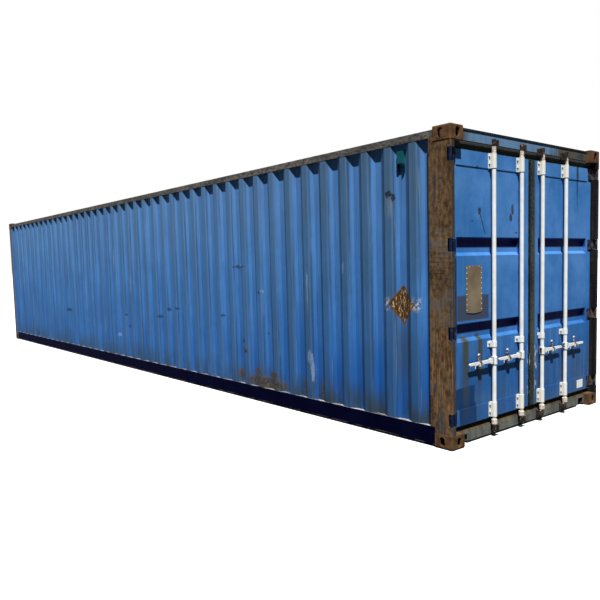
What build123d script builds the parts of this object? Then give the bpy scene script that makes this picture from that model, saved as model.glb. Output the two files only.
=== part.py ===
"""Forty-foot steel shipping container with two swinging doors and four locking rods.

Millimetres, +Z up, +X towards the doors.  The origin lies under the middle of the box,
at the height of the lower faces of the bottom corner fittings.
"""
import os

from build123d import *

# Overall box, measured over the corner fittings
LENGTH = 12192.0
WIDTH = 2438.0
HEIGHT = 2591.0

# Corner fittings: cast blocks with a twistlock slot below or above and two upright slots
SLOT_SETBACK_LONG = 103.5
SLOT_SETBACK_WIDE = 89.5
TWIST_SLOT_LONG = 124.0
TWIST_SLOT_WIDE = 63.5
FACE_SLOT_TALL = 79.5
FACE_SLOT_WIDE = 51.0
SLOT_BEYOND_LONG = 12.5
SLOT_BEYOND_WIDE = 40.75
SLOT_BEYOND_TALL = 19.25
FITTING_WALL = 14.0
FITTING_PLATE = 28.0
FITTING_ROUND = 16.0

# Corner posts
POST_INSET = 4.0
POST_WALL = 6.0
POST_FACE = 50.0
POST_STOP_WIDE = 46.0
POST_WING = 44.0
FRONT_POST_WIDE = 60.0

# Side rails
RAIL_SETBACK = 10.0
TOP_RAIL_SIZE = 60.0
TOP_RAIL_WALL = 3.0
TOP_RAIL_DROP = 25.0
BOTTOM_RAIL_BOTTOM = 18.0
BOTTOM_RAIL_TALL = 150.0
BOTTOM_RAIL_FLANGE = 48.0
BOTTOM_RAIL_LIP = 30.0
BOTTOM_RAIL_WALL = 4.5

# Corrugated side walls
WALL_PITCH = 278.0
WALL_RIDGE_FLAT = 72.0
WALL_SLOPE = 68.0
WALL_DEPTH = 36.0
WALL_SHEET = 2.0
WALL_SETBACK = 12.0

# Corrugated front wall
FRONT_PITCH = 250.0
FRONT_RIDGE_FLAT = 104.0
FRONT_SLOPE = 18.0
FRONT_DEPTH = 45.0
FRONT_SETBACK = 14.0
FRONT_TUBE_SETBACK = 10.0

# Roof sheet with cross ribs
ROOF_PITCH = 209.0
ROOF_RIB_FLAT = 90.0
ROOF_RIB_SLOPE = 14.0
ROOF_RIB_TALL = 16.0
ROOF_SHEET = 2.0
ROOF_MARGIN = 83.0
ROOF_EDGE_GAP = 6.0

# Floor and base
FLOOR_SINK = 1.0
FLOOR_THICK = 28.0
FLOOR_BOARDS = 10
FLOOR_JOINT = 3.0
FLOOR_SIDE_GAP = 2.0
CROSS_TALL = 122.0
CROSS_FLANGE = 45.0
CROSS_WALL = 4.0
CROSS_FIRST = 260.0
CROSS_PITCH = 418.0
TUNNEL_LONG = 3315.0
TUNNEL_WIDE = 1029.0
TUNNEL_TALL = 121.0
TUNNEL_PLATE = 5.0
TUNNEL_STIFFENERS = 9
FRAME_TUBE = 60.0
FRAME_TUBE_WALL = 4.0

# Sill and header beams: depths are measured inwards from the rear plane
BEAM_SETBACK = 4.0
BEAM_WALL = 5.0
SILL_BOTTOM = 20.0
SILL_FACE_TALL = 76.0
SILL_LEDGE_TALL = 54.0
SILL_LEDGE_RUN = 44.0
SILL_NOTCH_WIDE = 100.0
SILL_NOTCH_GAP = 20.0
SILL_NOTCH_TALL = 62.0
SILL_NOTCH_DEEP = 60.0
HEADER_DROP = 6.0
HEADER_TALL = 157.0
HEADER_STOP_TALL = 23.0
HEADER_LIP_PROUD = 6.0
HEADER_LIP_TALL = 14.0
HEADER_BAND_TALL = 62.0
HEADER_BAND_SINK = 3.0
HEADER_UNDER_TALL = 34.0
HEADER_UNDER_RUN = 16.0

# Door leaves
DOOR_FACE = 58.0
DOOR_THICK = 50.0
DOOR_TUBE_WALL = 4.0
DOOR_STOP_GAP = 10.0
LEAF_INNER = 17.0
LEAF_OUTER_INSET = 68.0
LEAF_BOTTOM_GAP = 15.0
LEAF_TOP_GAP = 13.0
STILE_INNER = 131.0
STILE_OUTER = 75.0
LEAF_RAIL_TOP = 125.0
LEAF_RAIL_BOTTOM = 135.0
PANEL_SINK = 6.0
PANEL_SHEET = 2.0
GROOVE_PLACES = (0.319, 0.674)
GROOVE_TALL = 153.0
GROOVE_DEPTH = 34.0
GROOVE_SLOPE = 27.0
GASKET_THICK = 7.0
GASKET_MEETING = 3.0
GASKET_SINK = 4.0
GASKET_LIP = 30.0
DRAIN_RADIUS = 6.0
MEETING_STRIP_FROM = 6.0
MEETING_STRIP_WIDE = 90.0
MEETING_STRIP_THICK = 4.0

# Hinges
PIN_INSET = 17.0
PIN_RADIUS = 8.0
PIN_BORE_GAP = 0.4
KNUCKLE_RADIUS = 13.0
HINGE_COUNT = 4
HINGE_ABOVE_BOTTOM = 80.0
HINGE_BELOW_TOP = 58.0
POCKET_TALL = 106.0
POCKET_SIDE = 36.0
POCKET_KNEE_INSET = 36.0
POCKET_KNEE_ROOM = 2.0
POCKET_INNER_ROOM = 10.0
POCKET_LUG = 12.0
BLADE_TALL = 100.0
BLADE_THICK = 10.0
BLADE_REACH = 58.0
BLADE_HALF = 4.0
BLADE_ELBOW_BACK = 12.0
BLADE_ELBOW_INSET = 35.5
BLADE_FOOT_INSET = 58.0
BLADE_FOOT_HALF = 2.0

# Locking rods, cams and keepers
ROD_STANDOFF = 32.0
ROD_RADIUS = 18.0
ROD_BORE = 14.5
ROD_PLACES = (175.0, 600.0)
ROD_BEYOND_CAM = 4.0
CAM_ROOM = 6.0
CAM_HALF_THICK = 8.0
CAM_TALL = 56.0
SILL_CAM_RISE = 52.0
HEADER_CAM_RISE = 6.0
COLLAR_RADIUS = 25.0
COLLAR_TALL = 50.0
COLLAR_ROUND = 8.0
COLLAR_GAP = 5.0
KEEPER_GAP = 5.0
KEEPER_ARM = 10.0
KEEPER_LIP = 8.0
KEEPER_LIP_FROM = 20.0
KEEPER_TALL = 52.0

# Rod brackets on the doors
ROD_RUNNING_GAP = 0.6
SADDLE_WALL = 4.0
BRACKET_PLATE = 6.0
BRACKET_WIDE = 76.0
TOP_BRACKET_TALL = 125.0
BOTTOM_BRACKET_TALL = 127.0
BOTTOM_BRACKET_RISE = 11.0
GUIDE_RISE = 642.0
GUIDE_TALL = 50.0
GUIDE_WIDE = 96.0

# Handles, hubs and catches
HANDLE_RISE = 501.0
HUB_TALL = 64.0
HUB_WALL = 7.0
HUB_SLOT = 15.0
HUB_EAR_WALL = 6.0
HUB_EAR_REACH = 62.0
HUB_EAR_TALL = 46.0
HANDLE_PIVOT = 43.0
HANDLE_REACH = 355.0
HANDLE_THICK = 12.0
HANDLE_TALL = 30.0
HANDLE_TIP_TALL = 20.0
PIVOT_RADIUS = 6.0
CATCH_PLACE = 200.0
CATCH_WIDE = 44.0
CATCH_GAP = 5.0
CATCH_WALL = 6.0
CATCH_FOOT = 26.0
CATCH_FINGER_WIDE = 26.0
CATCH_FINGER_RISE = 78.0

# Vents on the side walls
VENT_WIDE = 64.0
VENT_TALL = 176.0
VENT_DROP = 54.0
VENT_DEEP = 32.0
VENT_WALL = 4.0
VENT_COVER_TALL = 104.0
VENT_CHEEK_TALL = 40.0
VENT_CHEEK_FOOT = 14.0

# Room that a cut has beyond the piece it goes through
CUT_ROOM = 1.0

# Planes and heights that several pieces share
REAR = LENGTH / 2
SIDE = WIDTH / 2
FITTING_LONG = SLOT_SETBACK_LONG + TWIST_SLOT_LONG / 2 + SLOT_BEYOND_LONG
FITTING_WIDE = SLOT_SETBACK_WIDE + TWIST_SLOT_WIDE / 2 + SLOT_BEYOND_WIDE
FITTING_TALL = FACE_SLOT_TALL + 2 * SLOT_BEYOND_TALL
POST_BOTTOM = FITTING_TALL
POST_TOP = HEIGHT - FITTING_TALL
POST_DEPTH = FITTING_LONG + POST_WING
TOP_RAIL_TOP = HEIGHT - TOP_RAIL_DROP
TOP_RAIL_BOTTOM = TOP_RAIL_TOP - TOP_RAIL_SIZE
BOTTOM_RAIL_TOP = BOTTOM_RAIL_BOTTOM + BOTTOM_RAIL_TALL
FLOOR_TOP = BOTTOM_RAIL_TOP - FLOOR_SINK
SILL_FACE_TOP = SILL_BOTTOM + SILL_FACE_TALL
SILL_LEDGE_TOP = SILL_FACE_TOP + SILL_LEDGE_TALL
HEADER_TOP = HEIGHT - HEADER_DROP
HEADER_BOTTOM = HEADER_TOP - HEADER_TALL
HEADER_STOP_BOTTOM = HEADER_BOTTOM - HEADER_STOP_TALL
HEADER_LIP_BOTTOM = HEADER_TOP - HEADER_LIP_TALL
HEADER_BAND_TOP = HEADER_BOTTOM + HEADER_BAND_TALL
LEAF_BOTTOM = SILL_LEDGE_TOP + LEAF_BOTTOM_GAP
LEAF_TOP = HEADER_BOTTOM - LEAF_TOP_GAP
LEAF_OUTER = SIDE - LEAF_OUTER_INSET
DOOR_BACK = DOOR_FACE + DOOR_THICK
DOOR_STOP = DOOR_BACK + DOOR_STOP_GAP
BEAM_FACE = DOOR_FACE + BEAM_SETBACK
ROD_INSET = DOOR_FACE - ROD_STANDOFF
CAM_REACH = BEAM_FACE - ROD_INSET - CAM_ROOM
SADDLE_RADIUS = ROD_RADIUS + ROD_RUNNING_GAP + SADDLE_WALL
HUB_RADIUS = ROD_RADIUS + HUB_WALL


def block(x_range, y_range, z_range):
    """A box between two values on each axis, given in any order."""
    low = Vector(min(x_range), min(y_range), min(z_range))
    size = Vector(abs(x_range[1] - x_range[0]), abs(y_range[1] - y_range[0]), abs(z_range[1] - z_range[0]))
    return Pos(low) * Box(size.X, size.Y, size.Z, align=(Align.MIN, Align.MIN, Align.MIN))


def upright_prism(points, bottom, top):
    """Extrude a plan outline of (x, y) points upwards."""
    outline = Face(Wire.make_polygon([Vector(x, y, bottom) for x, y in points]))
    return extrude(outline, amount=top - bottom, dir=(0, 0, 1))


def cross_prism(points, near, far):
    """Extrude an (x, z) outline across the box."""
    outline = Face(Wire.make_polygon([Vector(x, near, z) for x, z in points]))
    return extrude(outline, amount=far - near, dir=(0, 1, 0))


def along_prism(points, start, end):
    """Extrude a (y, z) outline along the box."""
    outline = Face(Wire.make_polygon([Vector(start, y, z) for y, z in points]))
    return extrude(outline, amount=end - start, dir=(1, 0, 0))


def upright_rod(x, y, radius, bottom, top):
    """A round bar standing between two heights."""
    return Pos(x, y, bottom) * Cylinder(radius, top - bottom, align=(Align.CENTER, Align.CENTER, Align.MIN))


def along_rod(start, end, y, z, radius):
    """A round bar lying along the box."""
    return extrude(Plane((start, y, z), (0, 1, 0), (1, 0, 0)) * Circle(radius), end - start)


def corrugation(pitch, ridge_flat, slope, depth, start, end):
    """Points (along, in) of a sheet's outer face, with as many ridges at depth 0 as fit about 0."""
    ridges = int(2 * min(-start, end) // pitch)
    points = [(start, depth)]
    for ridge in range(ridges):
        middle = (ridge - (ridges - 1) / 2) * pitch
        points.append((middle - ridge_flat / 2 - slope, depth))
        points.append((middle - ridge_flat / 2, 0.0))
        points.append((middle + ridge_flat / 2, 0.0))
        points.append((middle + ridge_flat / 2 + slope, depth))
    points.append((end, depth))
    return points


def rear(depth):
    """The x of a depth measured inwards from the rear plane."""
    return REAR - depth


def left(inset):
    """The y of an inset measured inwards from the left side plane."""
    return inset - SIDE


def left_plan(points):
    """Turn (depth from rear plane, inset from left side) pairs into plan points."""
    return [(rear(depth), left(inset)) for depth, inset in points]


def rear_profile(points):
    """Turn (depth from rear plane, height) pairs into (x, z) points."""
    return [(rear(depth), z) for depth, z in points]


def on_right(shape):
    """The same shape on the other side of the box."""
    return mirror(shape, about=Plane.XZ)


def on_front(shape):
    """The same shape at the other end of the box."""
    return mirror(shape, about=Plane.YZ)


def on_top(shape):
    """The same shape turned over about the middle height."""
    return mirror(shape, about=Plane.XY.offset(HEIGHT / 2))


def grown(limits, amount):
    """A range made longer at both ends."""
    return (limits[0] - amount, limits[1] + amount)


# Corner fittings
fitting_x = (rear(FITTING_LONG), REAR)
fitting_y = (-SIDE, left(FITTING_WIDE))
slot_x = rear(SLOT_SETBACK_LONG)
slot_y = left(SLOT_SETBACK_WIDE)
face_slot_z = FITTING_TALL / 2
fitting_block = block(fitting_x, fitting_y, (0, FITTING_TALL))
outer_edges = []
for edge in fitting_block.edges():
    middle = edge.center()
    at_rear = abs(middle.X - REAR) < CUT_ROOM
    at_side = abs(middle.Y + SIDE) < CUT_ROOM
    at_bottom = middle.Z < CUT_ROOM
    if at_rear + at_side + at_bottom == 2:
        outer_edges.append(edge)
fitting = fillet(outer_edges, FITTING_ROUND)
fitting -= block(
    grown(fitting_x, -FITTING_WALL),
    grown(fitting_y, -FITTING_WALL),
    (FITTING_PLATE, FITTING_TALL - FITTING_WALL),
)
twist_slot = SlotOverall(TWIST_SLOT_LONG, TWIST_SLOT_WIDE)
face_slot = SlotOverall(FACE_SLOT_TALL, FACE_SLOT_WIDE)
twist_place = Plane((slot_x, slot_y, -CUT_ROOM), (1, 0, 0), (0, 0, 1))
side_place = Plane((slot_x, -SIDE - CUT_ROOM, face_slot_z), (0, 0, 1), (0, 1, 0))
end_place = Plane((REAR + CUT_ROOM, slot_y, face_slot_z), (0, 0, 1), (-1, 0, 0))
fitting -= extrude(twist_place * twist_slot, FITTING_PLATE + 2 * CUT_ROOM)
fitting -= extrude(side_place * face_slot, FITTING_WALL + 2 * CUT_ROOM)
fitting -= extrude(end_place * face_slot, FITTING_WALL + 2 * CUT_ROOM)
bottom_fittings = [fitting, on_right(fitting), on_front(fitting), on_front(on_right(fitting))]
top_fittings = [on_top(shape) for shape in bottom_fittings]
fitting_blocks = [fitting_block, on_right(fitting_block)]
fitting_blocks += [on_front(shape) for shape in fitting_blocks]
fitting_blocks += [on_top(shape) for shape in fitting_blocks]


def without_fittings(shape):
    """Leave out whatever would run into a corner fitting."""
    for solid in fitting_blocks:
        shape -= solid
    return shape


# Rear posts: a hollow outer face with a stop behind the door edge, cut by the hinge pockets,
# and a wing that the side wall is welded to
post_inner = POST_INSET + POST_FACE
stop_inner = post_inner + POST_STOP_WIDE
rear_post_outline = [
    (POST_INSET, POST_INSET),
    (FITTING_LONG, POST_INSET),
    (FITTING_LONG, stop_inner),
    (DOOR_STOP, stop_inner),
    (DOOR_STOP, post_inner),
    (POST_INSET, post_inner),
]
rear_post_hollow = [
    (POST_INSET + POST_WALL, POST_INSET + POST_WALL),
    (FITTING_LONG - POST_WALL, POST_INSET + POST_WALL),
    (FITTING_LONG - POST_WALL, stop_inner - POST_WALL),
    (DOOR_STOP + POST_WALL, stop_inner - POST_WALL),
    (DOOR_STOP + POST_WALL, post_inner - POST_WALL),
    (POST_INSET + POST_WALL, post_inner - POST_WALL),
]


def hinge_pocket(middle, lining):
    """The cut in a rear post for one hinge, grown by the lining that closes it off."""
    side_edge = POCKET_SIDE + lining
    knee_depth = DOOR_FACE + POCKET_KNEE_ROOM + lining
    inner_depth = DOOR_FACE + POCKET_INNER_ROOM + lining
    outline = [
        (-CUT_ROOM, -CUT_ROOM),
        (side_edge, -CUT_ROOM),
        (side_edge, POST_INSET + lining / 2),
        (knee_depth, POCKET_KNEE_INSET + lining / 2),
        (inner_depth, post_inner + CUT_ROOM),
        (-CUT_ROOM, post_inner + CUT_ROOM),
    ]
    half = POCKET_TALL / 2 + (POCKET_LUG if lining else 0)
    return upright_prism(left_plan(outline), middle - half, middle + half)


lowest_hinge = LEAF_BOTTOM + HINGE_ABOVE_BOTTOM
hinge_pitch = (LEAF_TOP - HINGE_BELOW_TOP - lowest_hinge) / (HINGE_COUNT - 1)
hinge_heights = [lowest_hinge + hinge * hinge_pitch for hinge in range(HINGE_COUNT)]
rear_post_block = upright_prism(left_plan(rear_post_outline), POST_BOTTOM, POST_TOP)
rear_post_space = upright_prism(left_plan(rear_post_hollow), POST_BOTTOM, POST_TOP)
rear_post = rear_post_block
pin_x = rear(PIN_INSET)
pin_y = left(PIN_INSET)
pin_half = POCKET_TALL / 2 + POCKET_LUG
hinge_pins = []
for height in hinge_heights:
    rear_post -= hinge_pocket(height, 0)
    rear_post_space -= hinge_pocket(height, POST_WALL)
    pin = upright_rod(pin_x, pin_y, PIN_RADIUS, height - pin_half, height + pin_half)
    rear_post -= pin
    hinge_pins.append(pin)
rear_post -= rear_post_space
wall_recess = WALL_SETBACK + WALL_DEPTH
wing_z = (BOTTOM_RAIL_TOP, TOP_RAIL_BOTTOM)
post_wing = block(
    (rear(FITTING_LONG), rear(POST_DEPTH)),
    (left(POST_INSET), left(POST_INSET + POST_WALL)),
    wing_z,
)
post_wing += block(
    (rear(POST_DEPTH - POST_WALL), rear(POST_DEPTH)),
    (left(POST_INSET), left(wall_recess + WALL_SHEET)),
    wing_z,
)
rear_posts = [rear_post, post_wing]

# Front posts
front_post_x = (rear(FITTING_LONG), rear(POST_INSET))
front_post_y = (left(POST_INSET), left(FRONT_POST_WIDE))
front_post = block(front_post_x, front_post_y, (POST_BOTTOM, POST_TOP))
front_post -= block(grown(front_post_x, -POST_WALL), grown(front_post_y, -POST_WALL), (POST_BOTTOM, POST_TOP))
front_post = on_front(front_post)

# Side rails
rail_end = REAR - FITTING_LONG
rail_outer = left(RAIL_SETBACK)
top_rail_y = (rail_outer, rail_outer + TOP_RAIL_SIZE)
top_rail_z = (TOP_RAIL_BOTTOM, TOP_RAIL_TOP)
top_rail = block((-rail_end, rail_end), top_rail_y, top_rail_z)
top_rail -= block((-rail_end, rail_end), grown(top_rail_y, -TOP_RAIL_WALL), grown(top_rail_z, -TOP_RAIL_WALL))
rail_web = rail_outer + BOTTOM_RAIL_WALL
rail_lip_top = BOTTOM_RAIL_BOTTOM + BOTTOM_RAIL_WALL
rail_flange_bottom = BOTTOM_RAIL_TOP - BOTTOM_RAIL_WALL
bottom_rail_outline = [
    (rail_outer, BOTTOM_RAIL_BOTTOM),
    (rail_outer + BOTTOM_RAIL_LIP, BOTTOM_RAIL_BOTTOM),
    (rail_outer + BOTTOM_RAIL_LIP, rail_lip_top),
    (rail_web, rail_lip_top),
    (rail_web, rail_flange_bottom),
    (rail_outer + BOTTOM_RAIL_FLANGE, rail_flange_bottom),
    (rail_outer + BOTTOM_RAIL_FLANGE, BOTTOM_RAIL_TOP),
    (rail_outer, BOTTOM_RAIL_TOP),
]
bottom_rail = along_prism(bottom_rail_outline, -rail_end, rail_end)

# Side walls: one corrugated sheet each, standing on the bottom rail
wall_end = REAR - POST_DEPTH
wall_face = corrugation(WALL_PITCH, WALL_RIDGE_FLAT, WALL_SLOPE, WALL_DEPTH, -rail_end, wall_end)
wall_outer = [(x, left(WALL_SETBACK + inset)) for x, inset in wall_face]
wall_inner = [(x, left(WALL_SETBACK + inset + WALL_SHEET)) for x, inset in reversed(wall_face)]
side_wall = upright_prism(wall_outer + wall_inner, BOTTOM_RAIL_TOP, TOP_RAIL_BOTTOM)

# Front end: sill, header and corrugated wall
front_half = SIDE - FRONT_POST_WIDE
front_tube_x = (-rear(FRONT_TUBE_SETBACK), -rear(FRONT_TUBE_SETBACK + FRAME_TUBE))


def front_tube(bottom, top):
    """A hollow beam across the front end."""
    span = (-front_half, front_half)
    tube = block(front_tube_x, span, (bottom, top))
    return tube - block(grown(front_tube_x, -FRAME_TUBE_WALL), span, grown((bottom, top), -FRAME_TUBE_WALL))


tunnel_half = TUNNEL_WIDE / 2
tunnel_outer = tunnel_half + TUNNEL_PLATE
tunnel_top = TUNNEL_TALL + TUNNEL_PLATE
front_sill_tube = without_fittings(front_tube(tunnel_top, BOTTOM_RAIL_TOP))
skirt_y = (left(FITTING_WIDE), -tunnel_outer)
skirt = block((front_tube_x[0], front_tube_x[0] + FRAME_TUBE_WALL), skirt_y, (SILL_BOTTOM, tunnel_top))
skirt += block(front_tube_x, skirt_y, (SILL_BOTTOM, SILL_BOTTOM + FRAME_TUBE_WALL))
skirt = without_fittings(skirt)
front_sill = [front_sill_tube, skirt, on_right(skirt)]
front_header = without_fittings(front_tube(TOP_RAIL_BOTTOM, TOP_RAIL_TOP))
front_face = corrugation(FRONT_PITCH, FRONT_RIDGE_FLAT, FRONT_SLOPE, FRONT_DEPTH, -front_half, front_half)
front_outer = [(-rear(FRONT_SETBACK + inset), y) for y, inset in front_face]
front_inner = [(-rear(FRONT_SETBACK + inset + WALL_SHEET), y) for y, inset in reversed(front_face)]
front_wall = without_fittings(upright_prism(front_outer + front_inner, BOTTOM_RAIL_TOP, TOP_RAIL_BOTTOM))

# Roof: a ribbed sheet on the top rails, with flat margins along both sides and a plate at the front
rib_half = SIDE - RAIL_SETBACK - ROOF_EDGE_GAP - ROOF_MARGIN
roof_face = corrugation(ROOF_PITCH, ROOF_RIB_FLAT, ROOF_RIB_SLOPE, ROOF_RIB_TALL, -rail_end, rail_end)
roof_lower = [(x, TOP_RAIL_TOP + ROOF_RIB_TALL - drop) for x, drop in roof_face]
roof_upper = [(x, z + ROOF_SHEET) for x, z in reversed(roof_lower)]
roof = cross_prism(roof_lower + roof_upper, -rib_half, rib_half)
rib_end_outline = [(-rail_end, TOP_RAIL_TOP), (rail_end, TOP_RAIL_TOP)] + roof_upper
rib_end = cross_prism(rib_end_outline, -rib_half - ROOF_SHEET, -rib_half)
sheet_z = (TOP_RAIL_TOP, TOP_RAIL_TOP + ROOF_SHEET)
margin = block((-rail_end, rail_end), (left(RAIL_SETBACK + ROOF_EDGE_GAP), -rib_half - ROOF_SHEET), sheet_z)
front_plate = block((front_tube_x[0], -rail_end), (left(FITTING_WIDE), -left(FITTING_WIDE)), sheet_z)
roof = roof + rib_end + on_right(rib_end) + margin + on_right(margin) + front_plate

# Floor boards on cross members, with the tunnel for a trailer's neck at the front
floor_start = front_tube_x[1]
floor_end = rear(FITTING_LONG)
floor_bottom = FLOOR_TOP - FLOOR_THICK
floor_half = SIDE - RAIL_SETBACK - BOTTOM_RAIL_FLANGE - FLOOR_SIDE_GAP
board_long = (floor_end - floor_start - FLOOR_JOINT * (FLOOR_BOARDS - 1)) / FLOOR_BOARDS
floor_boards = []
for board in range(FLOOR_BOARDS):
    start = floor_start + board * (board_long + FLOOR_JOINT)
    board_block = block((start, start + board_long), (-floor_half, -FLOOR_JOINT / 2), (floor_bottom, FLOOR_TOP))
    floor_boards += [board_block, on_right(board_block)]

cross_bottom = floor_bottom - CROSS_TALL


def cross_member(start, near, far):
    """A channel across the base, open towards the doors, notched over the lips of the rails."""
    outline = [
        (start, cross_bottom),
        (start + CROSS_FLANGE, cross_bottom),
        (start + CROSS_FLANGE, cross_bottom + CROSS_WALL),
        (start + CROSS_WALL, cross_bottom + CROSS_WALL),
        (start + CROSS_WALL, floor_bottom - CROSS_WALL),
        (start + CROSS_FLANGE, floor_bottom - CROSS_WALL),
        (start + CROSS_FLANGE, floor_bottom),
        (start, floor_bottom),
    ]
    notch = block(
        grown((start, start + CROSS_FLANGE), CUT_ROOM),
        (rail_outer, rail_outer + BOTTOM_RAIL_LIP),
        (cross_bottom - CUT_ROOM, rail_lip_top),
    )
    return cross_prism(outline, near, far) - notch - on_right(notch)


tunnel_start = front_tube_x[1]
tunnel_end = -REAR + TUNNEL_LONG
cross_count = int((floor_end - floor_start) // CROSS_PITCH)
cross_members = []
for member in range(cross_count):
    place = floor_end - CROSS_FIRST - member * CROSS_PITCH
    if place > tunnel_end + 2 * TUNNEL_PLATE:
        cross_members.append(cross_member(place, rail_web, -rail_web))
    elif place > tunnel_start:
        stub = cross_member(place, rail_web, -tunnel_outer)
        cross_members += [stub, on_right(stub)]

tunnel_y = (-tunnel_outer, tunnel_outer)
tunnel_side = block((tunnel_start, tunnel_end), (-tunnel_outer, -tunnel_half), (cross_bottom, TUNNEL_TALL))
tunnel = block((tunnel_start, tunnel_end), tunnel_y, (TUNNEL_TALL, tunnel_top))
tunnel_back = block((tunnel_end, tunnel_end + TUNNEL_PLATE), tunnel_y, (cross_bottom, tunnel_top))
stiffener_pitch = (tunnel_end - tunnel_start - CROSS_FLANGE) / (TUNNEL_STIFFENERS - 1)
for stiffener in range(TUNNEL_STIFFENERS):
    start = tunnel_start + stiffener * stiffener_pitch
    tunnel += block((start, start + CROSS_FLANGE), tunnel_y, (tunnel_top, floor_bottom))
tunnel_plates = [tunnel, tunnel_side, on_right(tunnel_side), tunnel_back]

# Door sill: a hollow beam with a sloped ledge below the doors and a notch beside each fitting, and
# the ledge carried on over the fittings to the posts
opening_half = SIDE - post_inner
ledge_end = BEAM_FACE + SILL_LEDGE_RUN
sill_outline = [
    (BEAM_FACE, SILL_BOTTOM),
    (BEAM_FACE, SILL_FACE_TOP),
    (ledge_end, SILL_LEDGE_TOP),
    (DOOR_STOP, SILL_LEDGE_TOP),
    (DOOR_STOP, FLOOR_TOP),
    (FITTING_LONG, FLOOR_TOP),
    (FITTING_LONG, SILL_BOTTOM),
]
sill_space = [
    (BEAM_FACE + BEAM_WALL, SILL_BOTTOM + BEAM_WALL),
    (BEAM_FACE + BEAM_WALL, SILL_FACE_TOP - BEAM_WALL / 2),
    (ledge_end + BEAM_WALL / 2, SILL_LEDGE_TOP - BEAM_WALL),
    (DOOR_STOP + BEAM_WALL, SILL_LEDGE_TOP - BEAM_WALL),
    (DOOR_STOP + BEAM_WALL, FLOOR_TOP - BEAM_WALL),
    (FITTING_LONG - BEAM_WALL, FLOOR_TOP - BEAM_WALL),
    (FITTING_LONG - BEAM_WALL, SILL_BOTTOM + BEAM_WALL),
]
opening_y = (-opening_half, opening_half)
door_sill = cross_prism(rear_profile(sill_outline), *opening_y)
door_sill -= cross_prism(rear_profile(sill_space), *opening_y)
notch_outer = left(FITTING_WIDE + SILL_NOTCH_GAP)
sill_notch = block(
    (rear(BEAM_FACE - CUT_ROOM), rear(BEAM_FACE + SILL_NOTCH_DEEP)),
    (notch_outer, notch_outer + SILL_NOTCH_WIDE),
    (SILL_BOTTOM - CUT_ROOM, SILL_BOTTOM + SILL_NOTCH_TALL),
)
door_sill = without_fittings(door_sill - sill_notch - on_right(sill_notch))
door_sill = door_sill - rear_post_block - on_right(rear_post_block)
sill_end = block((rear(0), rear(FITTING_LONG)), (left(0), left(FITTING_WIDE)), (0, HEIGHT))
sill_beam = door_sill - sill_end - on_right(sill_end)
sill_shelf = door_sill & sill_end

# Door header: a hollow beam with a sunk band over the doors, sloped under, and a rain lip along its top
header_lip = BEAM_FACE - HEADER_LIP_PROUD
band_depth = BEAM_FACE + HEADER_BAND_SINK
under_depth = band_depth + HEADER_UNDER_RUN
under_top = HEADER_BOTTOM + HEADER_UNDER_TALL
header_outline = [
    (header_lip, HEADER_LIP_BOTTOM),
    (header_lip, HEADER_TOP),
    (FITTING_LONG, HEADER_TOP),
    (FITTING_LONG, HEADER_STOP_BOTTOM),
    (DOOR_STOP, HEADER_STOP_BOTTOM),
    (DOOR_STOP, HEADER_BOTTOM),
    (under_depth, HEADER_BOTTOM),
    (band_depth, under_top),
    (band_depth, HEADER_BAND_TOP),
    (BEAM_FACE, HEADER_BAND_TOP),
    (BEAM_FACE, HEADER_LIP_BOTTOM),
]
header_space = [
    (band_depth + BEAM_WALL, HEADER_TOP - BEAM_WALL),
    (FITTING_LONG - BEAM_WALL, HEADER_TOP - BEAM_WALL),
    (FITTING_LONG - BEAM_WALL, HEADER_STOP_BOTTOM + BEAM_WALL),
    (DOOR_STOP + BEAM_WALL, HEADER_STOP_BOTTOM + BEAM_WALL),
    (DOOR_STOP + BEAM_WALL, HEADER_BOTTOM + BEAM_WALL),
    (under_depth + BEAM_WALL / 2, HEADER_BOTTOM + BEAM_WALL),
    (band_depth + BEAM_WALL, under_top + BEAM_WALL / 2),
]
door_header = cross_prism(rear_profile(header_outline), *opening_y)
door_header -= cross_prism(rear_profile(header_space), *opening_y)
door_header = without_fittings(door_header)
door_header = door_header - rear_post_block - on_right(rear_post_block)

# Keepers on the sill and header: an arm beside each cam with a lip in front of its nose
rod_x = rear(ROD_INSET)
sill_cam_mid = SILL_BOTTOM + SILL_CAM_RISE
header_cam_mid = HEADER_BAND_TOP + HEADER_CAM_RISE


def keeper(place, middle):
    """One keeper for the left door's rod at a distance from the middle of the box."""
    arm_from = -place + CAM_REACH + KEEPER_GAP
    arm_to = arm_from + KEEPER_ARM
    lip_back = rod_x + CAM_HALF_THICK + KEEPER_GAP
    lip_front = lip_back + KEEPER_LIP
    heights = (middle - KEEPER_TALL / 2, middle + KEEPER_TALL / 2)
    arm = block((rear(BEAM_FACE), lip_front), (arm_from, arm_to), heights)
    return arm + block((lip_back, lip_front), (-place + KEEPER_LIP_FROM, arm_to), heights)


header_keepers = [keeper(place, header_cam_mid) for place in ROD_PLACES]
header_keepers += [on_right(shape) for shape in header_keepers]
sill_keepers = [keeper(place, sill_cam_mid) for place in ROD_PLACES]
sill_keepers += [on_right(shape) for shape in sill_keepers]

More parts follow.
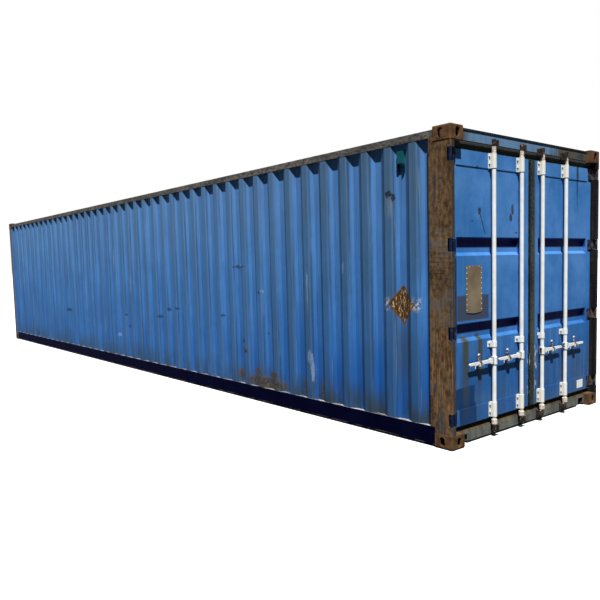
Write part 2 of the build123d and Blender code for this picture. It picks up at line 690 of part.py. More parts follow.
# Door leaf: hollow frame, grooved panel and gasket
leaf_y = (-LEAF_OUTER, -LEAF_INNER)
leaf_z = (LEAF_BOTTOM, LEAF_TOP)
panel_y = (-LEAF_OUTER + STILE_OUTER, -LEAF_INNER - STILE_INNER)
panel_z = (LEAF_BOTTOM + LEAF_RAIL_BOTTOM, LEAF_TOP - LEAF_RAIL_TOP)
face_x = rear(DOOR_FACE)
leaf_x = (rear(DOOR_BACK), face_x)
tube_space_x = grown(leaf_x, -DOOR_TUBE_WALL)
tube_space = block(tube_space_x, grown(leaf_y, -DOOR_TUBE_WALL), grown(leaf_z, -DOOR_TUBE_WALL))
tube_space -= block(tube_space_x, grown(panel_y, DOOR_TUBE_WALL), grown(panel_z, DOOR_TUBE_WALL))
door_frame = block(leaf_x, leaf_y, leaf_z) - block(leaf_x, panel_y, panel_z) - tube_space
for share in (0.25, 0.75):
    drain_y = leaf_y[0] + share * (leaf_y[1] - leaf_y[0])
    drain_top = LEAF_BOTTOM + 2 * DOOR_TUBE_WALL
    door_frame -= upright_rod(sum(leaf_x) / 2, drain_y, DRAIN_RADIUS, LEAF_BOTTOM, drain_top)

# The right leaf closes last and carries a flat strip beside the gap between the leaves
strip_y = (MEETING_STRIP_FROM, MEETING_STRIP_FROM + MEETING_STRIP_WIDE)
meeting_strip = block((face_x, face_x + MEETING_STRIP_THICK), strip_y, leaf_z)
door_frames = {"left": door_frame, "right": on_right(door_frame) + meeting_strip}

panel_depth = DOOR_FACE + PANEL_SINK
panel_points = [(panel_depth, panel_z[0])]
for share in GROOVE_PLACES:
    groove_bottom = panel_z[0] + share * (panel_z[1] - panel_z[0]) - GROOVE_TALL / 2
    groove_top = groove_bottom + GROOVE_TALL
    panel_points.append((panel_depth, groove_bottom))
    panel_points.append((panel_depth + GROOVE_DEPTH, groove_bottom + GROOVE_SLOPE))
    panel_points.append((panel_depth + GROOVE_DEPTH, groove_top - GROOVE_SLOPE))
    panel_points.append((panel_depth, groove_top))
panel_points.append((panel_depth, panel_z[1]))
panel_back = [(depth + PANEL_SHEET, z) for depth, z in reversed(panel_points)]
door_panel = cross_prism(rear_profile(panel_points + panel_back), *panel_y)

seal_y = (leaf_y[0] - GASKET_THICK, -GASKET_MEETING)
seal_z = grown(leaf_z, GASKET_THICK - CUT_ROOM)
seal_x = (rear(DOOR_BACK + GASKET_SINK), rear(DOOR_FACE + GASKET_SINK))
gasket = block(seal_x, seal_y, seal_z) - block(leaf_x, leaf_y, leaf_z)
gasket -= block(grown(seal_x, CUT_ROOM), grown(leaf_y, -GASKET_LIP), grown(leaf_z, -GASKET_LIP))

# Hinge blades: a knuckle round the pin and a bent plate onto the face of the stile
elbow_depth = DOOR_FACE - BLADE_ELBOW_BACK
blade_end = LEAF_OUTER_INSET + BLADE_REACH
blade_outline = [
    (PIN_INSET - BLADE_HALF, PIN_INSET + BLADE_HALF),
    (PIN_INSET + BLADE_HALF, PIN_INSET - BLADE_HALF),
    (elbow_depth + BLADE_HALF, BLADE_ELBOW_INSET - BLADE_HALF),
    (DOOR_FACE, BLADE_FOOT_INSET - BLADE_FOOT_HALF),
    (DOOR_FACE, blade_end),
    (DOOR_FACE - BLADE_THICK, blade_end),
    (DOOR_FACE - BLADE_THICK, BLADE_FOOT_INSET + BLADE_FOOT_HALF),
    (elbow_depth - BLADE_HALF, BLADE_ELBOW_INSET + BLADE_HALF),
]


def hinge_blade(middle):
    """One hinge blade of the left door."""
    low = middle - BLADE_TALL / 2
    high = middle + BLADE_TALL / 2
    blade = upright_prism(left_plan(blade_outline), low, high)
    blade += upright_rod(pin_x, pin_y, KNUCKLE_RADIUS, low, high)
    return blade - upright_rod(pin_x, pin_y, PIN_RADIUS + PIN_BORE_GAP, low, high)


door_hinges = [hinge_blade(height) for height in hinge_heights]


# Rod brackets: a plate on the door with a saddle round the rod
def rod_bracket(place, seat, plate_wide, low, tall):
    """One bracket for the rod at a distance from the middle, seated on a face at a depth."""
    plate_limit = panel_y[1] if seat > DOOR_FACE else leaf_y[1]
    plate_y = (-place - plate_wide / 2, min(-place + plate_wide / 2, plate_limit))
    high = low + tall
    bracket = block((rear(seat), rear(seat - BRACKET_PLATE)), plate_y, (low, high))
    bracket += block((rear(seat), rod_x), (-place - SADDLE_RADIUS, -place + SADDLE_RADIUS), (low, high))
    bracket += upright_rod(rod_x, -place, SADDLE_RADIUS, low, high)
    return bracket - upright_rod(rod_x, -place, ROD_RADIUS + ROD_RUNNING_GAP, low, high)


top_bracket_low = LEAF_TOP - TOP_BRACKET_TALL
bottom_bracket_low = LEAF_BOTTOM + BOTTOM_BRACKET_RISE
guide_low = LEAF_BOTTOM + GUIDE_RISE - GUIDE_TALL / 2
door_brackets = []
for place in ROD_PLACES:
    door_brackets.append(rod_bracket(place, DOOR_FACE, BRACKET_WIDE, top_bracket_low, TOP_BRACKET_TALL))
    door_brackets.append(rod_bracket(place, DOOR_FACE, BRACKET_WIDE, bottom_bracket_low, BOTTOM_BRACKET_TALL))
    door_brackets.append(rod_bracket(place, panel_depth, GUIDE_WIDE, guide_low, GUIDE_TALL))


# Locking rods: a tube with a cam at each end, a collar over the lower cam and a slotted hub for the handle
rod_bottom = sill_cam_mid - CAM_TALL / 2 - ROD_BEYOND_CAM
rod_top = header_cam_mid + CAM_TALL / 2 + ROD_BEYOND_CAM
handle_mid = LEAF_BOTTOM + HANDLE_RISE


def cam(place, middle):
    """A cam nose pointing at its keeper, away from the handle."""
    low = middle - CAM_TALL / 2
    high = middle + CAM_TALL / 2
    nose_y = -place + CAM_REACH - CAM_HALF_THICK
    nose = block((rod_x - CAM_HALF_THICK, rod_x + CAM_HALF_THICK), (-place, nose_y), (low, high))
    return nose + upright_rod(rod_x, nose_y, CAM_HALF_THICK, low, high)


def locking_rod(place):
    """The tube with both cams and the collar for the left door."""
    rod = upright_rod(rod_x, -place, ROD_RADIUS, rod_bottom, rod_top)
    collar_low = sill_cam_mid + CAM_TALL / 2 + COLLAR_GAP
    collar = upright_rod(rod_x, -place, COLLAR_RADIUS, collar_low, collar_low + COLLAR_TALL)
    rod += fillet(collar.edges().filter_by(GeomType.CIRCLE), COLLAR_ROUND)
    rod += cam(place, sill_cam_mid)
    rod += cam(place, header_cam_mid)
    return rod - upright_rod(rod_x, -place, ROD_BORE, rod_bottom, rod_top)


def handle_hub(place):
    """The clamp on the rod, with two ears that hold the handle's pivot."""
    low = handle_mid - HUB_TALL / 2
    high = handle_mid + HUB_TALL / 2
    ear_z = (handle_mid - HUB_EAR_TALL / 2, handle_mid + HUB_EAR_TALL / 2)
    ear_end = -place - HUB_EAR_REACH
    ear_half = HUB_SLOT / 2 + HUB_EAR_WALL
    hub = upright_rod(rod_x, -place, HUB_RADIUS, low, high)
    hub += block((rod_x - ear_half, rod_x + ear_half), (-place, ear_end), ear_z)
    slot_range = (rod_x - HUB_SLOT / 2, rod_x + HUB_SLOT / 2)
    hub -= block(slot_range, (-place - HUB_RADIUS, ear_end - CUT_ROOM), ear_z)
    hub += along_rod(rod_x - ear_half, rod_x + ear_half, -place - HANDLE_PIVOT, handle_mid, PIVOT_RADIUS)
    return hub - upright_rod(rod_x, -place, ROD_RADIUS, low, high)


def handle(place):
    """The flat handle bar, bored for its pivot, tapered towards its tip and round at both ends."""
    back = rod_x - HANDLE_THICK / 2
    front = rod_x + HANDLE_THICK / 2
    pivot_y = -place - HANDLE_PIVOT
    tip_y = -place - HANDLE_REACH + HANDLE_TIP_TALL / 2
    outline = [
        (pivot_y, handle_mid - HANDLE_TALL / 2),
        (tip_y, handle_mid - HANDLE_TIP_TALL / 2),
        (tip_y, handle_mid + HANDLE_TIP_TALL / 2),
        (pivot_y, handle_mid + HANDLE_TALL / 2),
    ]
    bar = along_prism(outline, back, front)
    bar += along_rod(back, front, pivot_y, handle_mid, HANDLE_TALL / 2)
    bar += along_rod(back, front, tip_y, handle_mid, HANDLE_TIP_TALL / 2)
    return bar - along_rod(back, front, pivot_y, handle_mid, PIVOT_RADIUS + ROD_RUNNING_GAP)


# Handle catches: a shelf under the handle with a low lip in front of it and a tall finger behind
def handle_catch(place):
    """One catch for the handle of the left door's rod."""
    middle = -place - CATCH_PLACE
    width = (middle - CATCH_WIDE / 2, middle + CATCH_WIDE / 2)
    finger_radius = CATCH_FINGER_WIDE / 2
    seat = rear(panel_depth)
    lip_back = rod_x + HANDLE_THICK / 2 + CATCH_GAP
    finger_front = rod_x - HANDLE_THICK / 2 - CATCH_GAP
    finger_back = finger_front - CATCH_WALL
    shelf_top = handle_mid - HANDLE_TALL / 2 - CATCH_GAP
    shelf_bottom = shelf_top - CATCH_WALL
    finger_top = handle_mid + CATCH_FINGER_RISE - finger_radius
    catch = block((seat, seat + CATCH_WALL), width, (shelf_bottom - CATCH_FOOT, shelf_top))
    catch += block((seat, lip_back + CATCH_WALL), width, (shelf_bottom, shelf_top))
    catch += block((lip_back, lip_back + CATCH_WALL), width, (shelf_bottom, handle_mid))
    finger_y = (middle - finger_radius, middle + finger_radius)
    catch += block((finger_back, finger_front), finger_y, (shelf_bottom, finger_top))
    return catch + along_rod(finger_back, finger_front, middle, finger_top, finger_radius)


door_catches = [handle_catch(place) for place in ROD_PLACES]

# Vents: hoods open below, each in the last recess but one of a side wall, with a short front cover
wall_ridges = (len(wall_face) - 2) // 4
vent_x = (wall_ridges / 2 - 1) * WALL_PITCH
vent_seat = left(wall_recess)
vent_front = vent_seat - VENT_DEEP
vent_top = TOP_RAIL_BOTTOM - VENT_DROP
vent_bottom = vent_top - VENT_TALL
cover_bottom = vent_top - VENT_COVER_TALL
cheek_bottom = cover_bottom - VENT_CHEEK_TALL
vent_body_x = (vent_x - VENT_WIDE / 2, vent_x + VENT_WIDE / 2)
vent_space_x = grown(vent_body_x, -VENT_WALL)
vent = block(vent_body_x, (vent_front, vent_seat), (vent_bottom, vent_top))
vent -= block(vent_space_x, (vent_front + VENT_WALL, vent_seat), (vent_bottom, vent_top - VENT_WALL))
vent -= block(vent_space_x, (vent_front, vent_seat), (vent_bottom, cover_bottom))
cheek_cut = [
    (vent_front - CUT_ROOM, vent_bottom - CUT_ROOM),
    (vent_front - CUT_ROOM, cheek_bottom),
    (vent_front, cheek_bottom),
    (vent_seat - VENT_CHEEK_FOOT, vent_bottom - CUT_ROOM),
]
vent -= along_prism(cheek_cut, vent_body_x[0] - CUT_ROOM, vent_body_x[1] + CUT_ROOM)

nodes = {
    "bottom_corner_fittings": bottom_fittings,
    "top_corner_fittings": top_fittings,
    "bottom_rail_left": [bottom_rail],
    "bottom_rail_right": [on_right(bottom_rail)],
    "top_rail_left": [top_rail],
    "top_rail_right": [on_right(top_rail)],
    "front_post_left": [front_post],
    "front_post_right": [on_right(front_post)],
    "rear_post_left": rear_posts,
    "rear_post_right": [on_right(shape) for shape in rear_posts],
    "front_sill": front_sill,
    "front_header": [front_header],
    "door_sill": [sill_beam, sill_shelf, on_right(sill_shelf)],
    "door_header": [door_header],
    "left_wall": [side_wall],
    "right_wall": [on_right(side_wall)],
    "front_wall": [front_wall],
    "roof": [roof],
    "floor": floor_boards,
    "cross_members": cross_members,
    "gooseneck_tunnel": tunnel_plates,
    "header_keepers": header_keepers,
    "sill_keepers": sill_keepers,
    "hinge_pins": hinge_pins + [on_right(pin) for pin in hinge_pins],
    "vents": [vent, on_front(on_right(vent))],
}
for side, turned in (("left", lambda shape: shape), ("right", on_right)):
    nodes[side + "_door_frame"] = [door_frames[side]]
    nodes[side + "_door_panel"] = [turned(door_panel)]
    nodes[side + "_door_gasket"] = [turned(gasket)]
    nodes[side + "_door_hinges"] = [turned(shape) for shape in door_hinges]
    nodes[side + "_door_brackets"] = [turned(shape) for shape in door_brackets]
    nodes[side + "_door_catches"] = [turned(shape) for shape in door_catches]
    for name, place in zip(("inner", "outer"), ROD_PLACES):
        nodes["_".join(("rod", side, name))] = [turned(locking_rod(place)), turned(handle_hub(place))]
        nodes["_".join(("handle", side, name))] = [turned(handle(place))]

os.makedirs("parts", exist_ok=True)
for node, shapes in nodes.items():
    solids = [solid for shape in shapes for solid in shape.solids()]
    export_step(solids[0] if len(solids) == 1 else Compound(solids), "parts/" + node + ".step")
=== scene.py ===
import math

import bmesh
import bpy
from mathutils import Matrix, Vector


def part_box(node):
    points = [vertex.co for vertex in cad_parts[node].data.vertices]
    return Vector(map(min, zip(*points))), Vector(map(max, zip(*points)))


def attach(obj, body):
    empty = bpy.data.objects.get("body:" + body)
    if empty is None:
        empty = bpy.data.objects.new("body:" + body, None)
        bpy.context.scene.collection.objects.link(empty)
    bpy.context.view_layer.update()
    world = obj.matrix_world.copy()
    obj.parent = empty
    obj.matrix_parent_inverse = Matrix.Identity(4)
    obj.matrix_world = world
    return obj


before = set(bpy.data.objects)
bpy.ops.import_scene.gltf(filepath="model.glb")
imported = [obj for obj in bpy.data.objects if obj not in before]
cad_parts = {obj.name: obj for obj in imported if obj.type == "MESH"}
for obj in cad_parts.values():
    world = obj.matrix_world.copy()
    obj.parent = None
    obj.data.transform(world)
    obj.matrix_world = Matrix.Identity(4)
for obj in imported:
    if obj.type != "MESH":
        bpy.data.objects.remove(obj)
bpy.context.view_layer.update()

# Camera: stands at eye height off the door corner, so that one long side and the doors show.
# Its place, turn, lens and shift were fitted to the edges of the container in the picture.
CAMERA_PLACE = (9.1707, -5.2521, 1.5384)
CAMERA_TURN = (50.147, 4.743, -1.494)
FILM_WIDTH, LENS = 36.0, 37.817
SHIFT_ASIDE, SHIFT_UP = -0.0144, 0.0257
FAR_CLIP = 500.0
scene = bpy.context.scene
scene.view_settings.view_transform = "Standard"
azimuth, elevation, roll = (math.radians(angle) for angle in CAMERA_TURN)
level_back = Vector((math.sin(azimuth), -math.cos(azimuth), 0.0))
back = level_back * math.cos(elevation) + Vector((0.0, 0.0, math.sin(elevation)))
level_right = Vector((math.cos(azimuth), math.sin(azimuth), 0.0))
level_up = back.cross(level_right)
right = level_right * math.cos(roll) + level_up * math.sin(roll)
up = level_up * math.cos(roll) - level_right * math.sin(roll)
camera = bpy.data.objects.new("camera", bpy.data.cameras.new("camera"))
scene.collection.objects.link(camera)
camera.data.sensor_width = FILM_WIDTH
camera.data.lens = LENS
camera.data.shift_x = SHIFT_ASIDE
camera.data.shift_y = SHIFT_UP
camera.data.clip_end = FAR_CLIP
turned = Matrix((right, up, back)).transposed().to_4x4()
camera.matrix_world = Matrix.Translation(CAMERA_PLACE) @ turned
scene.camera = camera

# Studio: a wide pale floor, a high sun from behind the viewer, a weak broad lamp opposite it for the far
# sides, and a white world.  Floor and world are pale only to the eye, to mirrors and to glass, so that
# their white doesn't flood the paint.
FLOOR_REACH, FLOOR_DROP = 300.0, 0.001
FLOOR_SEEN, FLOOR_BOUNCE, WORLD_FILL = 0.80, 0.04, 0.04
LAMPS = (
    ("sun", 6.7, 1.5, (0.417, -0.357, 1.0)),
    ("back_lamp", 1.8, 20.0, (-0.50, 0.45, 0.45)),
)


class Shade:
    """A shader socket that can be added, scaled and compared like a number or a vector."""

    tree = None

    def __init__(self, socket):
        self.socket = socket

    @staticmethod
    def node(kind, settings, sockets, output=0):
        """Add any node: its type, then its settings, then what goes into its sockets."""
        made = Shade.tree.nodes.new("ShaderNode" + kind)
        for name, value in settings.items():
            setattr(made, name, value)
        for name, value in sockets.items():
            Shade.feed(made.inputs[name], value)
        return Shade(made.outputs[output])

    @staticmethod
    def feed(target, value):
        """Link a shade to a socket, or write a plain value on it."""
        if isinstance(value, Shade):
            Shade.tree.links.new(value.socket, target)
        elif target.type == "RGBA":
            target.default_value = (*value, 1.0)
        else:
            target.default_value = value

    @staticmethod
    def pair(operation, first, second):
        """Join two values with a Math or Vector Math node."""
        parts = [first, second]
        shades = [part for part in parts if isinstance(part, Shade)]
        is_vector = isinstance(first, tuple) or isinstance(second, tuple)
        if is_vector or any(shade.socket.type == "VECTOR" for shade in shades):
            parts = [(part,) * 3 if isinstance(part, (int, float)) else part for part in parts]
            return Shade.node("VectorMath", {"operation": operation}, {0: parts[0], 1: parts[1]})
        return Shade.node("Math", {"operation": operation}, {0: parts[0], 1: parts[1]})

    def __add__(self, other):
        return Shade.pair("ADD", self, other)

    def __radd__(self, other):
        return Shade.pair("ADD", other, self)

    def __sub__(self, other):
        return Shade.pair("SUBTRACT", self, other)

    def __rsub__(self, other):
        return Shade.pair("SUBTRACT", other, self)

    def __mul__(self, other):
        return Shade.pair("MULTIPLY", self, other)

    def __rmul__(self, other):
        return Shade.pair("MULTIPLY", other, self)

    def most(self, other):
        """The larger of two values."""
        return Shade.pair("MAXIMUM", self, other)

    def size(self):
        """The value without its sign."""
        return Shade.node("Math", {"operation": "ABSOLUTE"}, {0: self})

    def edge(self, start, end):
        """Rise smoothly from 0 at start to 1 at end."""
        settings = {"interpolation_type": "SMOOTHSTEP"}
        return Shade.node("MapRange", settings, {"Value": self, "From Min": start, "From Max": end})

    def between(self, start, end, soft):
        """1 between two values and 0 outside them."""
        return self.edge(start - soft, start + soft) * (1.0 - self.edge(end - soft, end + soft))

    def axes(self):
        """The three parts of a vector."""
        parts = Shade.node("SeparateXYZ", {}, {0: self}).socket.node.outputs
        return [Shade(part) for part in parts]

    def noise(self, scale, detail=5.0):
        """Cloudy noise over a position, about 0 to 1."""
        sockets = {"Vector": self, "Scale": scale, "Detail": detail, "Roughness": 0.62}
        return Shade.node("TexNoise", {}, sockets, "Fac")

    def tint(self, low, high):
        """Mix two colours by this value."""
        return Shade.node("Mix", {"data_type": "RGBA"}, {0: self, 6: low, 7: high}, 2)

    def spots(self, height, ragged, places):
        """Ragged ovals, each a middle and a height, then half its width and half its tallness."""
        found = 0.0
        for middle, middle_height, half_wide, half_tall in places:
            aside = (self - middle) * (1.0 / half_wide)
            above = (height - middle_height) * (1.0 / half_tall)
            found = (1.0 - aside * aside - above * above + ragged).edge(-0.10, 0.40).most(found)
        return found


def start_material(name):
    """A new material and the position on its piece, in metres."""
    material = bpy.data.materials.new(name)
    material.use_nodes = True
    Shade.tree = material.node_tree
    return material, Shade.node("TexCoord", {}, {}, "Object")


def finish_material(material, colour, roughness, relief=None, height=0.001, gloss=0.03):
    """Feed the patterns to the material's own shader."""
    shader = material.node_tree.nodes["Principled BSDF"]
    shader.inputs["Specular IOR Level"].default_value = gloss
    Shade.feed(shader.inputs["Base Color"], colour)
    Shade.feed(shader.inputs["Roughness"], roughness)
    if relief is not None:
        Shade.feed(shader.inputs["Normal"], Shade.node("Bump", {}, {"Distance": height, "Height": relief}))
    return material


def seen_rays():
    """1 for the rays that show the studio itself: to the eye, in a mirror or through glass."""
    kinds = ("Is Camera Ray", "Is Glossy Ray", "Is Transmission Ray")
    rays = [Shade.node("LightPath", {}, {}, kind) for kind in kinds]
    return rays[0].most(rays[1]).most(rays[2])


floor_corners = [(across * FLOOR_REACH, along * FLOOR_REACH, 0.0)
                 for across, along in ((-1, -1), (1, -1), (1, 1), (-1, 1))]
floor_mesh = bpy.data.meshes.new("studio_floor")
floor_mesh.from_pydata(floor_corners, [], [(0, 1, 2, 3)])
studio_floor = bpy.data.objects.new("studio_floor", floor_mesh)
scene.collection.objects.link(studio_floor)
studio_floor.location.z = -FLOOR_DROP
floor_paint, _ = start_material("studio_floor")
floor_colour = seen_rays().tint((FLOOR_BOUNCE,) * 3, (FLOOR_SEEN,) * 3)
floor_mesh.materials.append(finish_material(floor_paint, floor_colour, 0.9))
for lamp_name, energy, spread, direction in LAMPS:
    lamp = bpy.data.objects.new(lamp_name, bpy.data.lights.new(lamp_name, "SUN"))
    lamp.data.energy = energy
    lamp.data.angle = math.radians(spread)
    lamp.rotation_mode = "QUATERNION"
    lamp.rotation_quaternion = Vector(direction).to_track_quat("Z", "Y")
    scene.collection.objects.link(lamp)
world = bpy.data.worlds.new("studio_world")
scene.world = world
world.use_nodes = True
Shade.tree = world.node_tree
background = world.node_tree.nodes["Background"]
Shade.feed(background.inputs["Color"], (1.0, 1.0, 1.0))
Shade.feed(background.inputs["Strength"], seen_rays() * (1.0 - WORLD_FILL) + WORLD_FILL)


# Corner fittings: hollow steel castings with slots for hooks and twistlocks, welded to both ends of
# each post.  They take every lift and knock, so their paint is gone: rust all over, rubbed paler where
# the grain stands out and greyer at the front end.
def dress(material, *names):
    """Give CAD nodes a material."""
    for name in names:
        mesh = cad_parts[name].data
        mesh.materials.clear()
        mesh.materials.append(material)


dark_rust, brown_rust = (0.066, 0.036, 0.019), (0.148, 0.080, 0.040)
rubbed_rust, grey_rust = (0.190, 0.115, 0.065), (0.072, 0.058, 0.046)
casting, place = start_material("rusty_casting")
cloud = place.noise(14.0)
grit = place.noise(90.0, 3.0)
rust = cloud.edge(0.35, 0.65).tint(dark_rust, brown_rust)
rust = (grit.edge(0.55, 0.75) * 0.6).tint(rust, rubbed_rust)
front_end = 1.0 - place.axes()[0].edge(-0.5, 0.5)
rust = (front_end * 0.7).tint(rust, grey_rust)
finish_material(casting, rust, 0.85, grit * 0.5 + cloud, 0.003)
dress(casting, "bottom_corner_fittings", "top_corner_fittings")

# Rear posts: pressed steel channels that frame the doors and carry the stack above.  Brown rust has
# eaten nearly all their paint, knocks have wrinkled them at mid height, and the end faces by the hinges
# are dark.  The right post is painted near black.
dark_rust, brown_rust = (0.048, 0.030, 0.017), (0.208, 0.126, 0.063)
damp_rust, orange_rust = (0.056, 0.040, 0.026), (0.360, 0.170, 0.068)
grey_primer, old_blue = (0.120, 0.112, 0.110), (0.026, 0.056, 0.095)
end_face_dark, near_black = (0.040, 0.040, 0.036), (0.010, 0.010, 0.012)
post_low, post_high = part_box("rear_post_left")
post_out, post_back = -post_low.y, post_high.x
post_paint, place = start_material("rusted_post_paint")
x, y, z = place.axes()
cloud = place.noise(3.2, 7.0)
runs = (place * (26.0, 26.0, 2.2)).noise(1.0, 6.0)
wrinkles = (place * (4.0, 4.0, 30.0)).noise(1.0, 4.0)
grit = (place * (32.0, 32.0, 18.0)).noise(1.0, 7.0)
rust = (cloud * 0.4 + grit * 0.6).edge(0.36, 0.64).tint(dark_rust, brown_rust)
rust = (runs.edge(0.48, 0.66) * 0.4).tint(rust, damp_rust)
grey = (cloud * 0.6 + wrinkles * 0.4).edge(0.48, 0.58) * z.between(0.9, 1.9, 0.2)
rust = (grey * 0.6).tint(rust, grey_primer)
scratches = (place * (75.0, 75.0, 5.0)).noise(1.0, 4.0)
orange = scratches.edge(0.53, 0.63) * (1.0 - z.edge(0.6, 1.3)) * z.edge(0.15, 0.45)
rust = (orange * 0.8).tint(rust, orange_rust)
left_blue = (cloud * 0.4 + runs * 0.6 + (1.0 - z.edge(0.16, 0.40)) * 0.05).edge(0.56, 0.62)
rust = (left_blue * 0.7).tint(rust, old_blue)
inner_face = 1.0 - y.size().edge(post_out - 0.021, post_out - 0.009)
end_face = inner_face * x.edge(post_back - 0.042, post_back - 0.012)
rust = (end_face * 0.8).tint(rust, end_face_dark)
# The right post is darkened to near black.
dark_wash = y.edge(-0.1, 0.1) * (0.85 + runs.edge(0.4, 0.6) * 0.15)
rust = dark_wash.tint(rust, near_black)
knocked = wrinkles * z.between(1.35, 1.75, 0.15)
finish_material(post_paint, rust, 0.85, grit * 0.5 + knocked + cloud, 0.006)
dress(post_paint, "rear_post_left", "rear_post_right")

# Top rails: square steel tubes welded from fitting to fitting along the upper edges, and the same tube
# across the front.  Sun and spreaders have left weathered grey-brown paint with dark freckles.
cold_grey, warm_grey, freckle = (0.105, 0.105, 0.102), (0.180, 0.168, 0.148), (0.050, 0.042, 0.036)
rail_paint, place = start_material("weathered_rail_paint")
cloud = (place * (1.5, 8.0, 8.0)).noise(2.0, 6.0)
grit = (place * (30.0, 70.0, 70.0)).noise(1.0, 5.0)
grey = cloud.edge(0.35, 0.62).tint(cold_grey, warm_grey)
grey = (grit.edge(0.46, 0.58) * 0.85).tint(grey, freckle)
finish_material(rail_paint, grey, 0.85, grit, 0.001)
dress(rail_paint, "top_rail_left", "top_rail_right", "front_header")

# Base: pressed steel bottom rails, front sill, cross members and trailer tunnel, welded into one frame
# and coated near-black navy.  Pale dust lies on the rails' tops, and a broken pale line just above their
# lower edges is painted highlight.
deep_navy, worn_navy = (0.0008, 0.0010, 0.012), (0.002, 0.003, 0.018)
painted_edge_highlight, pale_dust = (0.210, 0.210, 0.210), (0.560, 0.550, 0.530)
rail_low, rail_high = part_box("bottom_rail_left")
navy_paint, place = start_material("navy_base_paint")
x, _, z = place.axes()
cloud = place.noise(4.0, 6.0)
navy = cloud.edge(0.4, 0.7).tint(deep_navy, worn_navy)
streak = (place * (3.0, 30.0, 3.0)).noise(3.0)
# Painted highlight: a broken pale line just above the rails' lower edges.
lower_edge = z.between(rail_low.z + 0.001, rail_low.z + 0.006, 0.001)
navy = (lower_edge * streak.edge(0.45, 0.60) * 0.6).tint(navy, painted_edge_highlight)
rail_top = z.edge(rail_high.z - 0.0015, rail_high.z - 0.0002)
dust = rail_top * streak.edge(0.34, 0.62) * (0.5 + x.edge(3.0, 5.8) * 0.5)
finish_material(navy_paint, dust.tint(navy, pale_dust), cloud * 0.3 + 0.6, gloss=0.01)
dress(navy_paint, "bottom_rail_left", "bottom_rail_right", "front_sill", "cross_members", "gooseneck_tunnel")

# Walls, roof and front posts: thin steel sheet pressed into ridges, welded to the rails and to folded
# posts, all in mid-blue paint.  The ridges have gone grey-green with dirt, the recesses stay bluer, haze
# lies over the top, and rust has come up along the foot and at old scrapes.
light_blue, mid_blue, run_blue = (0.064, 0.212, 0.515), (0.046, 0.160, 0.415), (0.075, 0.180, 0.385)
dark_run, low_blue, haze_blue = (0.026, 0.084, 0.220), (0.009, 0.084, 0.325), (0.160, 0.310, 0.560)
far_dirt, near_dirt, grey_dirt = (0.074, 0.172, 0.330), (0.050, 0.116, 0.190), (0.040, 0.066, 0.074)
dry_run, painted_flank_shade, bend_scuff = (0.080, 0.092, 0.092), (0.014, 0.030, 0.062), (0.200, 0.240, 0.280)
foot_dirt, post_shadow_navy = (0.034, 0.046, 0.046), (0.003, 0.005, 0.020)
post_brown, roof_dust_and_shade = (0.120, 0.088, 0.060), (0.040, 0.085, 0.165)
knock_shade, dark_rust, dry_rust = (0.016, 0.034, 0.060), (0.030, 0.028, 0.022), (0.130, 0.094, 0.054)
drip_grey, dent_black, scrape_blue = (0.240, 0.270, 0.280), (0.014, 0.014, 0.016), (0.320, 0.400, 0.560)
wall_low, wall_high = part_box("left_wall")
ridge_out, roof_foot = -wall_low.y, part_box("roof")[0].z
wall_paint, place = start_material("blue_wall_paint")
x, y, z = place.axes()
ridge = y.size().edge(ridge_out - 0.027, ridge_out - 0.002)
bend = ridge.between(0.30, 0.90, 0.25)
cloud = place.noise(1.6, 7.0)
runs = (place * (24.0, 24.0, 0.6)).noise(1.0, 6.0)
fine_runs = (place * (80.0, 80.0, 2.2)).noise(1.0, 4.0)
grit = place.noise(40.0, 5.0)
blue = cloud.edge(0.32, 0.68).tint(light_blue, mid_blue)
blue = (runs.edge(0.48, 0.72) * 0.40).tint(blue, run_blue)
blue = (fine_runs.edge(0.46, 0.62) * 0.35).tint(blue, dark_run)
by_doors = x.edge(2.6, 5.0)
low = (1.0 - z.edge(0.3, 1.5)) * (0.25 + cloud * 0.4 + by_doors * 0.4)
blue = low.tint(blue, low_blue)
dirt = ridge * (runs * 0.6 + cloud * 0.4 + z.edge(0.9, 2.4) * 0.12).edge(0.32, 0.58)
blue = (dirt * 0.65).tint(blue, by_doors.tint(far_dirt, near_dirt))
grey_top = ridge * z.edge(1.5, 2.5) * fine_runs.edge(0.30, 0.58)
blue = (grey_top * (0.25 + by_doors * 0.45)).tint(blue, grey_dirt)
blue = (fine_runs.edge(0.58, 0.70) * ridge * 0.5).tint(blue, dry_run)
haze = z.edge(1.2, 2.4) * (0.32 - by_doors * 0.10)
blue = haze.tint(blue, haze_blue)
# Painted shade: the flanks between ridges and recesses are darkened in streaks, against the extra sun they
# catch.
blue = (bend * runs.edge(0.40, 0.60) * 0.60).tint(blue, painted_flank_shade)
blue = (bend * fine_runs.edge(0.56, 0.66) * 0.5).tint(blue, bend_scuff)
foot_cloud = (place * (5.0, 5.0, 1.6)).noise(1.0, 7.0)
foot = (1.0 - z.edge(wall_low.z + 0.002, wall_low.z + 0.332)) * foot_cloud.edge(0.36, 0.56)
blue = (foot * (0.55 + by_doors * 0.35)).tint(blue, foot_dirt)
# Painted shadow: a narrow near-black strip at the wall's rear end stands for the shadow of the post's edge.
blue = x.edge(wall_high.x - 0.029, wall_high.x - 0.018).tint(blue, post_shadow_navy)
front_end = 1.0 - x.edge(wall_low.x - 0.082, wall_low.x - 0.002)
blue = (front_end * y.size().edge(1.06, 1.15) * 0.7).tint(blue, post_brown)
